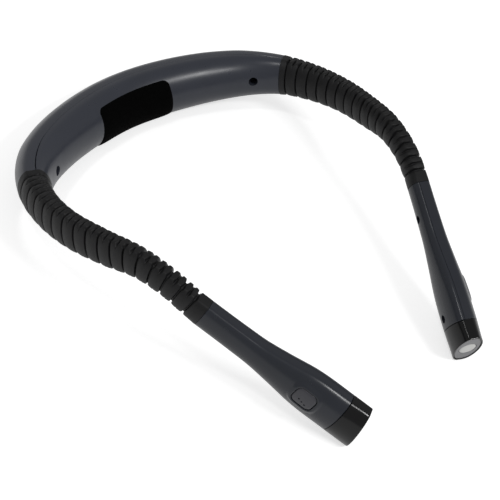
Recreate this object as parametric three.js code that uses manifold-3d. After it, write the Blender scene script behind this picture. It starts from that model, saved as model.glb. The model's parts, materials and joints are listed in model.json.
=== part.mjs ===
import * as THREE from 'three';
import { mergeVertices } from 'three/addons/utils/BufferGeometryUtils.js';
import Module from 'manifold-3d';

const wasm = await Module();
wasm.setup();

// Centre line of the right half, from the back of the band to the head: x, y, z, half width, half height
const ROUTE = [
  [0, 73.9, 0, 13.3, 13.9],
  [34.3, 68.1, 0, 13.1, 13.6],
  [54.4, 60.1, 0, 12.2, 12.8],
  [65.4, 53.4, 0, 11.2, 12.1],
  [72.6, 46.9, 0, 9.9, 11.4],
  [80.6, 36.1, 0, 8, 10.5],
  [85.8, 20.5, 0, 6.7, 9.8],
  [87.6, 0, 0, 5.7, 9],
  [84.7, -21.2, 0, 5.1, 8.4],
  [80, -41.4, -0.6, 5.1, 7.2],
  [76.3, -54.3, -5.2, 5.2, 6.6],
  [70.1, -69.7, -16.1, 5.2, 6.4],
];
const BAND_END_ROW = 5;
const TIP = [37.4, -132.4, -62];

// Two lines across the part on which it stands: y, z
const REST_BACK = [76.8, -13.6];
const REST_FRONT = [-126.4, -71.9];

// Cross section of the band, sleeves and heads
const OUTER_RIDGE_WIDTH = 3;
const INNER_RIDGE_SHARE = 0.36;
const RIDGE_SHRINK_SHARE = 0.33;
const RIDGE_ANGLE_DEG = 72;
const PARTING_DEPTH = 1.5;

// Walls and clearances
const GAP = 0.3;
const BAND_WALL = 2;
const HEAD_WALL = 1.4;
const END_WALL = 1.6;
const FAR = 60;
const FLOOR_SIDE = 480;
const HALF_REACH = 26;
const HOLE_REACH = 6.4;

// Gooseneck core and lead
const CORE_RADIUS = 2.4;
const CORE_BORE = 1;
const SOCKET_CLEARANCE = 0.4;
const CORE_IN_BAND = 9;
const CORE_IN_HEAD = 8.5;
const ANCHOR_IN_BAND = 11;
const ANCHOR_IN_HEAD = 8;
const LEAD_RADIUS = 0.7;

// Ribbed sleeves
const GROOVE_COUNT = 16;
const FIRST_COLLAR_LENGTH = 4.1;
const LAST_COLLAR_LENGTH = 6.8;
const GROOVE_WIDTH = 1.6;
const GROOVE_DEPTH = 1.3;
const NOTCH_WIDTH = 1.2;
const NOTCH_DEPTH = 0.7;
const HINGE_GROOVES = [2, 6, 10, 14];

// Neck pad
const PAD_HALF_LENGTH = 28;
const PAD_SINK = 0.8;
const PAD_EDGE = 0.2;
const PAD_CROWN = 1.1;
const PAD_CUT_HEIGHT = 2.2;
const PAD_TOP_ANGLE_DEG = 40;
const PAD_BOTTOM_ANGLE_DEG = 70;
const PAD_CORNER_SHARE = 0.35;

// Screws and the posts that take them, measured outward from the centre plane
const SCREW_HOLE_RADIUS = 1.95;
const SCREW_BOSS_RADIUS = 2.5;
const SCREW_HEAD_RADIUS = 1.6;
const SCREW_HEAD_HEIGHT = 1.2;
const SCREW_SHANK_RADIUS = 0.8;
const SCREW_SLOT_WIDTH = 0.5;
const SCREW_SLOT_DEPTH = 0.6;
const SCREW_SEAT = -2.2;
const SCREW_BOSS_END = -1;
const SCREW_END = 3;
const POST_RADIUS = 2;
const BAND_SCREW_SETBACK = 16;
const HEAD_SCREW_REAR = 17;
const SCREW_TO_SPIGOT = 0.4;

// Band contents
const CELL_LENGTH = 44;
const CELL_HEIGHT = 18;
const CELL_INNER = -4.7;
const CELL_OUTER = 3.3;
const CELL_CORNER = 2;
const BOARD_STATION = 46;
const BOARD_LENGTH = 24;
const BOARD_HEIGHT = 14;
const BOARD_INNER = 3.4;
const BOARD_THICKNESS = 1.2;
const BOARD_CORNER = 1;
const SOCKET_LENGTH = 9;
const SOCKET_INNER = -0.2;
const SOCKET_THICKNESS = 3.2;
const SOCKET_HEIGHT = 7.5;
const SOCKET_RECESS = 0.5;
const SOCKET_WALL = 0.4;
const SOCKET_POCKET = 6;
const LEAD_TO_CELL = 1;
const PAST_POST = 3.6;

// Head
const CAP_LENGTH = 11.6;
const CAP_WALL = 0.7;
const CAP_CHAMFER = 0.35;
const FACE_SLANT_DEG = 8;
const SPIGOT_LENGTH = 1.8;
const SPIGOT_WALL = 1;
const LENS_SEAT = 2.3;
const LENS_RECESS = 0.3;
const WINDOW_HALF_WIDTH = 4;
const WINDOW_HALF_HEIGHT = 4.4;
const WINDOW_DOME = 0.15;
const LED_BOARD_SETBACK = 5.4;
const LED_BOARD_THICKNESS = 1;
const LED_SIZE = 3;
const LED_HEIGHT = 0.8;
const SPREADER_THICKNESS = 1.5;
const SWITCH_BOARD_START = 42;
const SWITCH_BOARD_STEP = 48;
const SWITCH_BOARD_INNER = 1.7;
const SWITCH_BOARD_THICKNESS = 1;
const SWITCH_BOARD_NARROW = 3.5;
const SWITCH_BOARD_WIDE = 5;
const TONGUE_HALF_WIDTH = 2;
const SWITCH_SIZE = 3.4;
const SWITCH_HEIGHT = 0.5;
const BUTTON_STATION = 56;
const BUTTON_RAISE = 0.9;
const BUTTON_LENGTH = 10.2;
const BUTTON_WIDTH = 8.7;
const BUTTON_CORNER = 2.2;
const BUTTON_BOTTOM = 3.8;
const BUTTON_TOP = 7.6;
const BUTTON_BEVEL = 0.4;
const FLANGE_EXTRA = 1;
const FLANGE_THICKNESS = 0.7;
const RIM_WIDTH = 0.9;
const RIM_TOP = 7.2;
const DOT_RADIUS = 0.45;
const DOT_HEIGHT = 0.2;
const DOT_SPACING = 1.9;
const DOT_ROW_DROP = 1.7;
const DOT_ROW_SLANT_DEG = 20;

const SECTION_STEPS = 6;
const SLEEVE_STEPS = 4;
const CAVITY_STEPS = 4;
const ROUND_SIDES = 12;
const CORE_SIDES = 10;
const LEAD_SIDES = 6;
const POLAR_STEPS = 2;
const RING_SPACING = 9;
const CAVITY_SPACING = 9;
const LINK_RING_SPACING = 9;
const LEAD_RING_SPACING = 7;
const PAD_STEPS = 8;

const COLOURS = {
  band: 0x3c3e44,
  pad: 0x060607,
  rubber: 0x262627,
  head: 0x35373c,
  cap: 0x1c1c1e,
  button: 0x45454b,
  lens: 0x8c8c8d,
  window: 0xd8d8d6,
  steel: 0x8a8c90,
  copper: 0xb5b8bc,
  board: 0x1f4a33,
  cell: 0x3f6fa0,
  lead: 0x202022,
};

// Smooth values through the rows of a table, with the slopes at its two ends given
function smooth(rows, knots, startSlopes, endSlopes, s) {
  let i = 0;
  while (i < knots.length - 2 && s > knots[i + 1]) i += 1;
  const step = knots[i + 1] - knots[i];
  const t = (s - knots[i]) / step;
  const slope = (row, column) => {
    if (row === 0) return startSlopes[column];
    if (row === rows.length - 1) return endSlopes[column];
    const before = knots[row] - knots[row - 1];
    const after = knots[row + 1] - knots[row];
    const rise = (rows[row][column] - rows[row - 1][column]) / before;
    const next = (rows[row + 1][column] - rows[row][column]) / after;
    return (rise * after + next * before) / (before + after);
  };
  return rows[i].map((value, column) => {
    const m0 = slope(i, column) * step;
    const m1 = slope(i + 1, column) * step;
    const end = rows[i + 1][column];
    const t2 = t * t;
    const t3 = t2 * t;
    return value * (2 * t3 - 3 * t2 + 1) + m0 * (t3 - 2 * t2 + t) + end * (3 * t2 - 2 * t3) + m1 * (t3 - t2);
  });
}

const rowPoint = (row) => new THREE.Vector3(row[0], row[1], row[2]);
const ROUTE_KNOTS = [0];
for (let i = 1; i < ROUTE.length; i += 1) {
  ROUTE_KNOTS.push(ROUTE_KNOTS[i - 1] + rowPoint(ROUTE[i]).distanceTo(rowPoint(ROUTE[i - 1])));
}
const BAND_END = ROUTE_KNOTS[BAND_END_ROW];
const HEAD_START = ROUTE_KNOTS[ROUTE.length - 1];
const HEAD_ORIGIN = rowPoint(ROUTE[ROUTE.length - 1]);
const HEAD_AXIS = rowPoint(TIP).sub(HEAD_ORIGIN);
const HEAD_LENGTH = HEAD_AXIS.length();
HEAD_AXIS.normalize();
const CAP_START = HEAD_LENGTH - CAP_LENGTH;
const HEAD_SCREW_FRONT = CAP_START - SPIGOT_LENGTH - SCREW_TO_SPIGOT - SCREW_BOSS_RADIUS;

// Head stations from the sleeve to the tip: distance, half width, half height
const HEAD_SIZES = [
  [0, 5.2, 6.4],
  [20, 5.4, 6.5],
  [28, 5.6, 6.7],
  [40, 6.3, 8.3],
  [54, 7.2, 10.7],
  [CAP_START, 7.4, 11.2],
  [HEAD_LENGTH, 6.9, 11.5],
];

function sizesAt(s) {
  const row = smooth(ROUTE, ROUTE_KNOTS, [1, 0, 0, 0, 0], [...HEAD_AXIS.toArray(), 0, 0], Math.abs(s));
  return [row[3], row[4]];
}

function headSizesAt(x) {
  const knots = HEAD_SIZES.map((row) => row[0]);
  const rows = HEAD_SIZES.map((row) => [row[1], row[2]]);
  return smooth(rows, knots, [0, 0], [0, 0], x);
}

// Point on the centre line, mirrored below zero and straight along the head past the route
function centreAt(s) {
  if (s > HEAD_START) return HEAD_ORIGIN.clone().addScaledVector(HEAD_AXIS, s - HEAD_START);
  const row = smooth(ROUTE, ROUTE_KNOTS, [1, 0, 0, 0, 0], [...HEAD_AXIS.toArray(), 0, 0], Math.abs(s));
  return new THREE.Vector3(Math.sign(s) * row[0], row[1], row[2]);
}

// Frame on the centre line: x along it, y outward from the neck, z up
function frameAt(s) {
  const along = centreAt(s + GAP).sub(centreAt(s - GAP)).normalize();
  const up = new THREE.Vector3(0, 0, 1);
  up.addScaledVector(along, -up.dot(along)).normalize();
  const outward = up.clone().cross(along);
  return new THREE.Matrix4().makeBasis(along, outward, up).setPosition(centreAt(s));
}

const HEAD_FRAME = frameAt(HEAD_START + CORE_IN_HEAD).setPosition(HEAD_ORIGIN);

// Point of the cross section at an angle down one side, sunk below its surface by inset
function sectionPoint(sizes, inset, sign, angle) {
  const limit = THREE.MathUtils.degToRad(RIDGE_ANGLE_DEG);
  const ridge = (sign > 0 ? OUTER_RIDGE_WIDTH : INNER_RIDGE_SHARE * sizes[0]) - RIDGE_SHRINK_SHARE * inset;
  const reach = (Math.cos(angle) - Math.cos(limit)) / (1 - Math.cos(limit));
  const rise = Math.sin(angle) / Math.sin(limit);
  return [sign * (ridge + (sizes[0] - inset - ridge) * reach), sign * rise * (sizes[1] - inset)];
}

function section(sizes, inset, steps) {
  const limit = THREE.MathUtils.degToRad(RIDGE_ANGLE_DEG);
  const points = [];
  for (const sign of [1, -1]) {
    for (let i = 0; i <= steps; i += 1) {
      points.push(sectionPoint(sizes, inset, sign, limit * (1 - (2 * i) / steps)));
    }
  }
  return points;
}

// Oval with as many points as the section, starting in the same direction
function oval(halfWidth, halfHeight, count) {
  return Array.from({ length: count }, (_, i) => {
    const angle = (Math.PI * (count / 2 - 1 - 2 * i)) / count;
    return [halfWidth * Math.cos(angle), halfHeight * Math.sin(angle)];
  });
}

const ring = (frame, outline, x = 0) =>
  outline.map(([y, z]) => new THREE.Vector3(x, y, z).applyMatrix4(frame));
const FLAT_FRAME = new THREE.Matrix4();
const headRing = (x, inset, frame = FLAT_FRAME) =>
  ring(frame, section(headSizesAt(x), inset, SECTION_STEPS), x);

// The lamp face leans back: its lower edge is farther forward
const FACE_FRAME = new THREE.Matrix4();
FACE_FRAME.makeShear(0, 0, 0, 0, -Math.tan(THREE.MathUtils.degToRad(FACE_SLANT_DEG)), 0);
const faceRing = (x, inset) => headRing(x, inset, FACE_FRAME);

function evenStations(from, to, spacing) {
  const count = Math.max(1, Math.round((to - from) / spacing));
  return Array.from({ length: count + 1 }, (_, i) => from + ((to - from) * i) / count);
}

// Closed body from its triangles, turned right side out
function body(points, triangles) {
  let volume = 0;
  for (const [a, b, c] of triangles) volume += points[a].dot(points[b].clone().cross(points[c]));
  const order = volume < 0 ? triangles.map(([a, b, c]) => [a, c, b]) : triangles;
  const geometry = new THREE.BufferGeometry();
  geometry.setAttribute('position', new THREE.Float32BufferAttribute(points.flatMap((p) => p.toArray()), 3));
  geometry.setIndex(order.flat());
  return geometry;
}

// Rings joined one to the next; looped rings close on the first, others are capped
function skin(rings, looped) {
  const count = rings[0].length;
  const points = rings.flat();
  const triangles = [];
  const spans = looped ? rings.length : rings.length - 1;
  for (let r = 0; r < spans; r += 1) {
    const next = (r + 1) % rings.length;
    for (let i = 0; i < count; i += 1) {
      const j = (i + 1) % count;
      const corners = [r * count + i, r * count + j, next * count + j, next * count + i];
      triangles.push([corners[0], corners[1], corners[2]], [corners[0], corners[2], corners[3]]);
    }
  }
  if (!looped) {
    for (const [r, flip] of [[0, true], [rings.length - 1, false]]) {
      const middle = rings[r].reduce((sum, p) => sum.add(p), new THREE.Vector3()).divideScalar(count);
      points.push(middle);
      for (let i = 0; i < count; i += 1) {
        const edge = [r * count + i, r * count + ((i + 1) % count)];
        triangles.push(flip ? [edge[1], edge[0], points.length - 1] : [edge[0], edge[1], points.length - 1]);
      }
    }
  }
  return body(points, triangles);
}

// Sheet between two grids of points
function slab(top, bottom) {
  const rows = top.length;
  const columns = top[0].length;
  const points = [...top.flat(), ...bottom.flat()];
  const upper = (r, c) => r * columns + c;
  const lower = (r, c) => rows * columns + r * columns + c;
  const triangles = [];
  const quad = (a, b, c, d) => triangles.push([a, b, c], [a, c, d]);
  for (let r = 0; r < rows - 1; r += 1) {
    for (let c = 0; c < columns - 1; c += 1) {
      quad(upper(r, c), upper(r, c + 1), upper(r + 1, c + 1), upper(r + 1, c));
      quad(lower(r, c), lower(r + 1, c), lower(r + 1, c + 1), lower(r, c + 1));
    }
    quad(upper(r, 0), upper(r + 1, 0), lower(r + 1, 0), lower(r, 0));
    quad(upper(r + 1, columns - 1), upper(r, columns - 1), lower(r, columns - 1), lower(r + 1, columns - 1));
  }
  for (let c = 0; c < columns - 1; c += 1) {
    quad(upper(0, c + 1), upper(0, c), lower(0, c), lower(0, c + 1));
    quad(upper(rows - 1, c), upper(rows - 1, c + 1), lower(rows - 1, c + 1), lower(rows - 1, c));
  }
  return body(points, triangles);
}

function solid(geometry) {
  const plain = geometry.clone();
  plain.deleteAttribute('normal');
  plain.deleteAttribute('uv');
  const merged = mergeVertices(plain);
  const triVerts = new Uint32Array(merged.index.array);
  const vertProperties = merged.attributes.position.array;
  return new wasm.Manifold(new wasm.Mesh({ numProp: 3, vertProperties, triVerts }));
}

function surface(manifold) {
  const mesh = manifold.getMesh();
  const geometry = new THREE.BufferGeometry();
  geometry.setAttribute('position', new THREE.Float32BufferAttribute(mesh.vertProperties, 3));
  geometry.setIndex(Array.from(mesh.triVerts));
  return geometry;
}

const combine = (start, added, cut) => {
  const whole = added.reduce((sum, geometry) => sum.add(solid(geometry)), start);
  return cut.reduce((rest, geometry) => rest.subtract(solid(geometry)), whole);
};

// Round rod along the outward direction of a frame
function rod(radius, from, to, frame = FLAT_FRAME) {
  const geometry = new THREE.CylinderGeometry(radius, radius, to - from, ROUND_SIDES);
  return geometry.translate(0, (from + to) / 2, 0).applyMatrix4(frame);
}

function box(sizeX, sizeY, sizeZ, centre, frame = FLAT_FRAME) {
  return new THREE.BoxGeometry(sizeX, sizeY, sizeZ).translate(...centre).applyMatrix4(frame);
}

// Block with round corners, its thickness along the outward direction
function block(length, height, corner, from, to, bevel = 0) {
  const x = length / 2;
  const z = height / 2;
  const shape = new THREE.Shape();
  shape.moveTo(corner - x, -z);
  shape.absarc(x - corner, corner - z, corner, -Math.PI / 2, 0);
  shape.absarc(x - corner, z - corner, corner, 0, Math.PI / 2);
  shape.absarc(corner - x, z - corner, corner, Math.PI / 2, Math.PI);
  shape.absarc(corner - x, corner - z, corner, Math.PI, 1.5 * Math.PI);
  const geometry = new THREE.ExtrudeGeometry(shape, {
    depth: to - from - 2 * bevel,
    bevelEnabled: bevel > 0,
    bevelThickness: bevel,
    bevelSize: bevel,
    bevelOffset: -bevel,
    bevelSegments: 1,
    curveSegments: 2,
  });
  return geometry.translate(0, 0, from + bevel).rotateX(-Math.PI / 2);
}

const shift = (geometry, x, y = 0, z = 0) => geometry.translate(x, y, z);

// Parts of a screwed joint in the frame of the screw
const screwBoss = (frame) => rod(SCREW_BOSS_RADIUS, -FAR, SCREW_BOSS_END, frame);
const screwPost = (frame) => rod(POST_RADIUS, SCREW_BOSS_END + GAP, FAR, frame);
const screwHole = (frame) => rod(SCREW_HOLE_RADIUS, -FAR, SCREW_SEAT, frame);
const screwBore = (frame) => rod(SCREW_SHANK_RADIUS + GAP, SCREW_SEAT - GAP, SCREW_END + GAP, frame);

function screw() {
  const top = SCREW_SEAT - GAP - SCREW_HEAD_HEIGHT;
  const head = solid(rod(SCREW_HEAD_RADIUS, top, SCREW_SEAT - GAP));
  const slotCentre = [0, top, 0];
  const slotLength = 2 * SCREW_SHANK_RADIUS;
  return surface(
    combine(
      head,
      [rod(SCREW_SHANK_RADIUS, SCREW_SEAT - 2 * GAP, SCREW_END)],
      [
        box(slotLength, 2 * SCREW_SLOT_DEPTH, SCREW_SLOT_WIDTH, slotCentre),
        box(SCREW_SLOT_WIDTH, 2 * SCREW_SLOT_DEPTH, slotLength, slotCentre),
      ],
    ),
  );
}

const REST_TILT = -Math.atan2(REST_BACK[1] - REST_FRONT[1], REST_BACK[0] - REST_FRONT[0]);
const REST_HEIGHT = REST_BACK[0] * Math.sin(REST_TILT) + REST_BACK[1] * Math.cos(REST_TILT);

// Everything below the face on which the part stands
function ground() {
  const centre = [0, 0, REST_HEIGHT - FAR / 2];
  return box(FLOOR_SIDE, FLOOR_SIDE, FAR, centre, new THREE.Matrix4().makeRotationX(-REST_TILT));
}

const part = new THREE.Group();
const mirror = new THREE.Matrix4().makeScale(-1, 1, 1);

function addMesh(name, geometry, colour, roughness, metalness) {
  const soup = geometry.index ? geometry.toNonIndexed() : geometry;
  soup.deleteAttribute('normal');
  soup.computeVertexNormals();
  const mesh = new THREE.Mesh(soup, new THREE.MeshStandardMaterial({ color: colour, roughness, metalness }));
  mesh.name = name;
  part.add(mesh);
}

function mirrored(geometry) {
  const image = (geometry.index ? geometry.toNonIndexed() : geometry.clone()).applyMatrix4(mirror);
  const position = image.attributes.position;
  for (let i = 0; i < position.count; i += 3) {
    const second = new THREE.Vector3().fromBufferAttribute(position, i + 1);
    const third = new THREE.Vector3().fromBufferAttribute(position, i + 2);
    position.setXYZ(i + 1, ...third.toArray());
    position.setXYZ(i + 2, ...second.toArray());
  }
  return image;
}

// A piece of the right side and its mirror image on the left
function addPair(suffix, geometry, colour, roughness, metalness) {
  addMesh(`right_${suffix}`, geometry.clone(), colour, roughness, metalness);
  addMesh(`left_${suffix}`, mirrored(geometry), colour, roughness, metalness);
}

// Band shells
const bandRings = (inset, end, spacing, steps) =>
  evenStations(-end, end, spacing).map((s) => ring(frameAt(s), section(sizesAt(s), inset, steps)));

// Everything on one side of the parting line, along the whole band
function bandHalf(sign) {
  const from = (sign * GAP) / 2 - PARTING_DEPTH;
  const outline = [
    [from, FAR],
    [from, -FAR],
    [sign * HALF_REACH, -FAR],
    [sign * HALF_REACH, FAR],
  ];
  const stations = evenStations(-BAND_END - GAP, BAND_END + GAP, RING_SPACING);
  return solid(skin(stations.map((s) => ring(frameAt(s), outline))));
}

const bandBody = solid(skin(bandRings(0, BAND_END, RING_SPACING, SECTION_STEPS)));
const bandCavity = solid(skin(bandRings(BAND_WALL, BAND_END - END_WALL, CAVITY_SPACING, CAVITY_STEPS)));
const bandShell = bandBody.subtract(bandCavity);
const bandScrewFrames = [-1, 1].map((side) => frameAt(side * (BAND_END - BAND_SCREW_SETBACK)));
const coreHole = (CORE_RADIUS + GAP) / Math.cos(Math.PI / ROUND_SIDES);
function alongRod(radius, frame) {
  const geometry = new THREE.CylinderGeometry(radius, radius, HOLE_REACH, ROUND_SIDES);
  return geometry.rotateZ(Math.PI / 2).applyMatrix4(frame);
}
const bandCoreHoles = [-1, 1].map((side) => alongRod(coreHole, frameAt(side * BAND_END)));

const boardFrame = frameAt(BOARD_STATION);
const socketBottom = SOCKET_RECESS - sizesAt(BOARD_STATION)[1];
const socketMiddle = SOCKET_INNER + SOCKET_THICKNESS / 2;
const socketSlot = box(
  SOCKET_LENGTH + 2 * GAP,
  SOCKET_THICKNESS + 2 * GAP,
  2 * SOCKET_HEIGHT,
  [0, socketMiddle, socketBottom],
  boardFrame,
);

// Pad point: u across and v along, each from minus one to one
function padPoint(u, v, inset, extra) {
  const across = u * Math.sqrt(1 - (PAD_CORNER_SHARE * v * v) / 2);
  const along = v * Math.sqrt(1 - (PAD_CORNER_SHARE * u * u) / 2);
  const s = along * (PAD_HALF_LENGTH + extra);
  const edge = across < 0 ? PAD_TOP_ANGLE_DEG : PAD_BOTTOM_ANGLE_DEG;
  const turn = THREE.MathUtils.degToRad(edge) * across * (1 + extra / ROUTE[0][4]);
  const [y, z] = sectionPoint(sizesAt(s), inset, -1, turn);
  return new THREE.Vector3(0, y, z).applyMatrix4(frameAt(s));
}

function padGrid(insetAt, extra) {
  const shares = Array.from({ length: PAD_STEPS + 1 }, (_, i) => (2 * i) / PAD_STEPS - 1);
  return shares.map((v) => shares.map((u) => padPoint(u, v, insetAt(u, v), extra)));
}

const padRise = (u, v) => PAD_EDGE + (PAD_CROWN - PAD_EDGE) * (1 - u ** 4) * (1 - v ** 4);
const padRecess = slab(padGrid(() => -PAD_CUT_HEIGHT, GAP), padGrid(() => PAD_SINK, GAP));

const onBody = (geometry) => surface(solid(geometry).intersect(bandBody));
const backShell = combine(
  bandShell.intersect(bandHalf(1)),
  bandScrewFrames.map((frame) => onBody(screwPost(frame))),
  [...bandScrewFrames.map(screwBore), ...bandCoreHoles, socketSlot, ground()],
);
const neckShell = combine(
  bandShell.intersect(bandHalf(-1)),
  bandScrewFrames.map((frame) => onBody(screwBoss(frame))),
  [
    ...bandScrewFrames.map(screwHole),
    ...bandScrewFrames.map(screwBore),
    ...bandCoreHoles,
    padRecess,
    socketSlot,
    ground(),
  ],
);
addMesh('back_shell', surface(backShell), COLOURS.band, 0.45, 0);
addMesh('neck_shell', surface(neckShell), COLOURS.band, 0.45, 0);
addMesh(
  'neck_pad',
  slab(padGrid((u, v) => -padRise(u, v), 0), padGrid(() => PAD_SINK - GAP, 0)),
  COLOURS.pad,
  0.9,
  0,
);
addPair('band_screw', screw().applyMatrix4(bandScrewFrames[1]), COLOURS.steel, 0.35, 1);

// Band contents
const cell = block(CELL_LENGTH, CELL_HEIGHT, CELL_CORNER, CELL_INNER, CELL_OUTER);
addMesh('battery_cell', cell.applyMatrix4(frameAt(0)), COLOURS.cell, 0.5, 0);
const board = block(BOARD_LENGTH, BOARD_HEIGHT, BOARD_CORNER, BOARD_INNER, BOARD_INNER + BOARD_THICKNESS);
addMesh('charge_board', board.applyMatrix4(boardFrame), COLOURS.board, 0.6, 0);
const socketTop = socketBottom + SOCKET_HEIGHT / 2;
const socket = combine(
  solid(box(SOCKET_LENGTH, SOCKET_THICKNESS, SOCKET_HEIGHT, [0, socketMiddle, socketTop], boardFrame)),
  [],
  [
    box(
      SOCKET_LENGTH - 2 * SOCKET_WALL,
      SOCKET_THICKNESS - 2 * SOCKET_WALL,
      2 * SOCKET_POCKET,
      [0, socketMiddle, socketBottom],
      boardFrame,
    ),
  ],
);
addMesh('charge_socket', surface(socket), COLOURS.copper, 0.3, 1);

// Anchors: blocks that fill the end of the band and of the head round the gooseneck
function boreOutline(steps) {
  const count = 2 * steps + 2;
  const radius = (CORE_RADIUS + GAP) / Math.cos(Math.PI / count);
  return oval(radius, radius, count);
}

const bandAnchorRings = (outlineAt) =>
  evenStations(BAND_END - ANCHOR_IN_BAND, BAND_END - END_WALL - GAP, RING_SPACING).map((s) =>
    ring(frameAt(s), outlineAt(s)),
  );
addPair(
  'band_anchor',
  skin(
    [
      ...bandAnchorRings((s) => section(sizesAt(s), BAND_WALL + GAP, CAVITY_STEPS)),
      ...bandAnchorRings(() => boreOutline(CAVITY_STEPS)).reverse(),
    ],
    true,
  ),
  COLOURS.cap,
  0.6,
  0,
);

// Gooseneck links: each has a round end in the hollow end of the link before it
const GROOVE_PITCH = (HEAD_START - BAND_END - FIRST_COLLAR_LENGTH - LAST_COLLAR_LENGTH) / (GROOVE_COUNT - 1);
const grooveAt = (index) => BAND_END + FIRST_COLLAR_LENGTH + index * GROOVE_PITCH;
const HINGES = HINGE_GROOVES.map(grooveAt);
const LINKS = HINGES.length + 1;

function gooseneck(index) {
  const profile = [];
  const polar = (centre, radius, from, to) => {
    for (let i = 0; i <= POLAR_STEPS; i += 1) {
      const angle = from + ((to - from) * i) / POLAR_STEPS;
      profile.push([centre - radius * Math.cos(angle), radius * Math.sin(angle)]);
    }
  };
  const first = index === 0;
  const last = index === LINKS - 1;
  const start = first ? BAND_END - CORE_IN_BAND : HINGES[index - 1];
  const end = last ? HEAD_START + CORE_IN_HEAD : HINGES[index];
  const hollow = CORE_RADIUS + SOCKET_CLEARANCE;
  const rim = Math.asin(CORE_RADIUS / hollow);
  if (first) profile.push([start, CORE_BORE], [start, CORE_RADIUS]);
  else polar(start, CORE_RADIUS, Math.asin(CORE_BORE / CORE_RADIUS), Math.PI / 2);
  const along = evenStations(start, end, LINK_RING_SPACING).slice(1, -1);
  profile.push(...along.map((s) => [s, CORE_RADIUS]));
  if (last) profile.push([end, CORE_RADIUS], [end, CORE_BORE]);
  else polar(end, hollow, rim, Math.asin(CORE_BORE / hollow));
  profile.push(...along.reverse().map((s) => [s, CORE_BORE]));
  return skin(profile.map(([s, radius]) => ring(frameAt(s), oval(radius, radius, CORE_SIDES))), true);
}

// Sleeve piece between two hinges: all-round grooves, with short notches over the top and bottom between them
function sleeve(index) {
  const start = index === 0 ? BAND_END + GAP : HINGES[index - 1] + GAP / 2;
  const end = index === LINKS - 1 ? HEAD_START - GAP : HINGES[index] - GAP / 2;
  const rings = [];
  const put = (s, inset, notch) => {
    const outline = section(sizesAt(s), inset, SLEEVE_STEPS).map(([y, z], i) => {
      const onRidge = i % (SLEEVE_STEPS + 1) === 0 || i % (SLEEVE_STEPS + 1) === SLEEVE_STEPS;
      return [y, onRidge ? z - Math.sign(z) * notch : z];
    });
    rings.push(ring(frameAt(s), outline));
  };
  if (index === 0) put(start, 0, 0);
  for (let i = 0; i < GROOVE_COUNT; i += 1) {
    const s = grooveAt(i);
    if (s > start - GROOVE_WIDTH && s < end + GROOVE_WIDTH) {
      if (s - GROOVE_WIDTH / 2 > start) put(s - GROOVE_WIDTH / 2, 0, 0);
      put(THREE.MathUtils.clamp(s, start, end), GROOVE_DEPTH, 0);
      if (s + GROOVE_WIDTH / 2 < end) put(s + GROOVE_WIDTH / 2, 0, 0);
    }
    const middle = s + GROOVE_PITCH / 2;
    if (middle > start && middle < end && i < GROOVE_COUNT - 1) {
      put(middle - NOTCH_WIDTH / 2, 0, 0);
      put(middle, 0, NOTCH_DEPTH);
      put(middle + NOTCH_WIDTH / 2, 0, 0);
    }
  }
  if (index === LINKS - 1) put(end, 0, 0);
  const stations = evenStations(start, end, RING_SPACING).reverse();
  const bore = stations.map((s) => ring(frameAt(s), boreOutline(SLEEVE_STEPS)));
  return skin([...rings, ...bore], true);
}

for (let i = 0; i < LINKS; i += 1) {
  addPair(`gooseneck_${i + 1}`, gooseneck(i), COLOURS.steel, 0.4, 1);
  addPair(`sleeve_${i + 1}`, sleeve(i), COLOURS.rubber, 0.75, 0);
}

// Leads from the charge board to the heads: station, outward and upward offset
const leadEnd = SWITCH_BOARD_START - GAP;
const boardEdge = BOARD_LENGTH / 2 + GAP;
const boardSide = BOARD_INNER + BOARD_THICKNESS / 2;
const armOffsets = [
  [BAND_END - BAND_SCREW_SETBACK - POST_RADIUS - 2 * LEAD_RADIUS, 0, PAST_POST],
  [BAND_END - BAND_SCREW_SETBACK + POST_RADIUS + LEAD_RADIUS, 0, PAST_POST],
  [BAND_END - CORE_IN_BAND - GAP, 0, 0],
  [HEAD_START + CORE_IN_HEAD + GAP, 0, 0],
  [HEAD_START + HEAD_SCREW_REAR - SCREW_BOSS_RADIUS - GAP, 0, PAST_POST],
  [HEAD_START + HEAD_SCREW_REAR + SCREW_BOSS_RADIUS + GAP, 0, PAST_POST],
  [HEAD_START + leadEnd, SWITCH_BOARD_INNER + SWITCH_BOARD_THICKNESS / 2, 0],
];
const nearOffsets = [[BOARD_STATION + boardEdge, boardSide, 0], ...armOffsets];
const cellBow = centreAt(0).y - centreAt(CELL_LENGTH / 2).y;
const besideCell = CELL_OUTER + cellBow + LEAD_TO_CELL + LEAD_RADIUS;
const farOffsets = [
  [boardEdge - BOARD_STATION, boardSide, 0],
  [-CELL_LENGTH / 2 - LEAD_RADIUS, besideCell, 0],
  [CELL_LENGTH / 2 + LEAD_RADIUS, besideCell, 0],
  ...armOffsets,
];

function lead(offsets) {
  const rings = [];
  for (let i = 0; i < offsets.length - 1; i += 1) {
    const stations = evenStations(offsets[i][0], offsets[i + 1][0], LEAD_RING_SPACING);
    for (const s of i === 0 ? stations : stations.slice(1)) {
      const share = THREE.MathUtils.smoothstep(s, offsets[i][0], offsets[i + 1][0]);
      const y = THREE.MathUtils.lerp(offsets[i][1], offsets[i + 1][1], share);
      const z = THREE.MathUtils.lerp(offsets[i][2], offsets[i + 1][2], share);
      const outline = oval(LEAD_RADIUS, LEAD_RADIUS, LEAD_SIDES).map(([a, b]) => [a + y, b + z]);
      rings.push(ring(frameAt(s), outline));
    }
  }
  return skin(rings);
}

addMesh('right_lead', lead(nearOffsets), COLOURS.lead, 0.6, 0);
addMesh('left_lead', mirrored(lead(farOffsets)), COLOURS.lead, 0.6, 0);

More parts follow.
